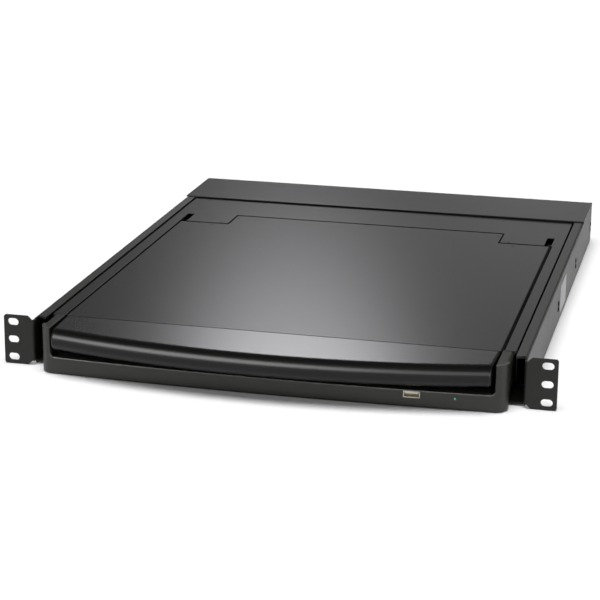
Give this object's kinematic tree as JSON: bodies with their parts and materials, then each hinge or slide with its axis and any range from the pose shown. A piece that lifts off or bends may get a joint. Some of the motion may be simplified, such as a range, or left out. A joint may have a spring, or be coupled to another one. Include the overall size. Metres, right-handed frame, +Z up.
{
  "type": "rackmount console drawer",
  "caption": "One-unit rack drawer on telescopic slides with a keyboard and pointing pad under a hinged lid that holds a flat screen; ears bolt to the rack posts.",
  "frame": {"origin": "middle of the floor area: centre of the bounding box in X and Y, at the underside of the case and ears", "axes": "+X to the right seen from the front, +Y to the rear of the rack, +Z up; the drawer pulls out along -Y"},
  "size_m": [0.4826, 0.5969, 0.044],
  "materials": {
    "charcoal_steel": "satin fine texture",
    "black_moulding": "satin",
    "gloss_black": "gloss",
    "keycap": "fine matt",
    "pad": "smooth matt",
    "button_black": "satin",
    "zinc_steel": "zinc plated",
    "dark_fastener": "black oxide",
    "nickel": "nickel plated",
    "contact_moulding": "pale",
    "circuit_board": "lacquered",
    "green_lens": "clear green",
    "screen_glass": "clear",
    "panel_metal": "satin",
    "rubber": "matt"
  },
  "bodies": {
    "case": {"side_right": "charcoal_steel", "side_left": "charcoal_steel", "base_pan": "charcoal_steel", "rear_cover": "charcoal_steel", "rear_panel": "charcoal_steel", "power_inlet": "black_moulding", "switch_housing": "black_moulding", "console_port": "nickel", "power_supply": "zinc_steel", "slide_outer_right": "zinc_steel", "slide_outer_left": "zinc_steel", "slide_rivets": "dark_fastener", "cover_screws": "dark_fastener"},
    "rocker": {"power_rocker": "black_moulding"},
    "middle_slides": {"slide_middle_right": "zinc_steel", "slide_middle_left": "zinc_steel"},
    "drawer": {"slide_inner_right": "zinc_steel", "slide_inner_left": "zinc_steel", "drawer_tray": "charcoal_steel", "drawer_top_frame": "charcoal_steel", "front_fascia": "black_moulding", "rail_cap_right": "black_moulding", "rail_cap_left": "black_moulding", "key_guide_plate": "black_moulding", "keyboard_deck": "black_moulding", "lock_lamps": "green_lens", "touchpad": "pad", "electronics_cover": "charcoal_steel", "control_board": "circuit_board", "usb_shell": "nickel", "usb_tongue": "contact_moulding", "usb_board": "circuit_board", "power_lamp": "green_lens", "hinge_bracket_right": "charcoal_steel", "hinge_bracket_left": "charcoal_steel", "hinge_pins": "zinc_steel"},
    "lid": {"lid_cover": "charcoal_steel", "lid_handle": "gloss_black", "lcd_bezel": "black_moulding", "lcd_glass": "screen_glass", "lcd_module": "panel_metal", "hinge_arm_right": "zinc_steel", "hinge_arm_left": "zinc_steel", "lid_bumpers": "rubber"},
    "pad_button_left": {"pad_button_left": "pad"},
    "pad_button_right": {"pad_button_right": "pad"},
    "key_row_1": {"key_row_1": "keycap"},
    "key_row_2": {"key_row_2": "keycap"},
    "key_row_3": {"key_row_3": "keycap"},
    "key_row_4": {"key_row_4": "keycap"},
    "key_row_5": {"key_row_5": "keycap"},
    "key_row_6": {"key_row_6": "keycap"},
    "screen_button_1": {"screen_button_1": "button_black"},
    "screen_button_2": {"screen_button_2": "button_black"},
    "screen_button_3": {"screen_button_3": "button_black"},
    "screen_button_4": {"screen_button_4": "button_black"},
    "screen_button_5": {"screen_button_5": "button_black"}
  },
  "joints": [
    {"name": "drawer_slide", "type": "slide", "parent": "case", "child": "drawer", "axis": [0, -1, 0], "range_m": [0, 0.43]},
    {"name": "middle_slide", "type": "slide", "parent": "case", "child": "middle_slides", "axis": [0, -1, 0], "range_m": [0, 0.215]},
    {"name": "lid_hinge", "type": "hinge", "parent": "drawer", "child": "lid", "pos_m": [0, 0.1325, 0.029], "axis": [-1, 0, 0], "range_deg": [0, 105]},
    {"name": "power_switch", "type": "hinge", "parent": "case", "child": "rocker", "pos_m": [-0.133, 0.291, 0.021], "axis": [-1, 0, 0], "range_deg": [0, 16]},
    {"name": "pad_press_left", "type": "slide", "parent": "drawer", "child": "pad_button_left", "axis": [0, 0, -1], "range_m": [0, 0.0008], "stiffness_N_per_m": 300, "springref_m": -0.001},
    {"name": "pad_press_right", "type": "slide", "parent": "drawer", "child": "pad_button_right", "axis": [0, 0, -1], "range_m": [0, 0.0008], "stiffness_N_per_m": 300, "springref_m": -0.001},
    {"name": "key_press_1", "type": "slide", "parent": "drawer", "child": "key_row_1", "axis": [0, 0, -1], "range_m": [0, 0.0025], "stiffness_N_per_m": 400, "springref_m": -0.003},
    {"name": "key_press_2", "type": "slide", "parent": "drawer", "child": "key_row_2", "axis": [0, 0, -1], "range_m": [0, 0.0025], "stiffness_N_per_m": 400, "springref_m": -0.003},
    {"name": "key_press_3", "type": "slide", "parent": "drawer", "child": "key_row_3", "axis": [0, 0, -1], "range_m": [0, 0.0025], "stiffness_N_per_m": 400, "springref_m": -0.003},
    {"name": "key_press_4", "type": "slide", "parent": "drawer", "child": "key_row_4", "axis": [0, 0, -1], "range_m": [0, 0.0025], "stiffness_N_per_m": 400, "springref_m": -0.003},
    {"name": "key_press_5", "type": "slide", "parent": "drawer", "child": "key_row_5", "axis": [0, 0, -1], "range_m": [0, 0.0025], "stiffness_N_per_m": 400, "springref_m": -0.003},
    {"name": "key_press_6", "type": "slide", "parent": "drawer", "child": "key_row_6", "axis": [0, 0, -1], "range_m": [0, 0.0025], "stiffness_N_per_m": 400, "springref_m": -0.003},
    {"name": "screen_press_1", "type": "slide", "parent": "lid", "child": "screen_button_1", "axis": [0, 0, 1], "range_m": [0, 0.0008], "stiffness_N_per_m": 300, "springref_m": -0.001},
    {"name": "screen_press_2", "type": "slide", "parent": "lid", "child": "screen_button_2", "axis": [0, 0, 1], "range_m": [0, 0.0008], "stiffness_N_per_m": 300, "springref_m": -0.001},
    {"name": "screen_press_3", "type": "slide", "parent": "lid", "child": "screen_button_3", "axis": [0, 0, 1], "range_m": [0, 0.0008], "stiffness_N_per_m": 300, "springref_m": -0.001},
    {"name": "screen_press_4", "type": "slide", "parent": "lid", "child": "screen_button_4", "axis": [0, 0, 1], "range_m": [0, 0.0008], "stiffness_N_per_m": 300, "springref_m": -0.001},
    {"name": "screen_press_5", "type": "slide", "parent": "lid", "child": "screen_button_5", "axis": [0, 0, 1], "range_m": [0, 0.0008], "stiffness_N_per_m": 300, "springref_m": -0.001}
  ],
  "couplings": [
    {"joint": "middle_slide", "follows": "drawer_slide", "ratio": 0.5}
  ]
}
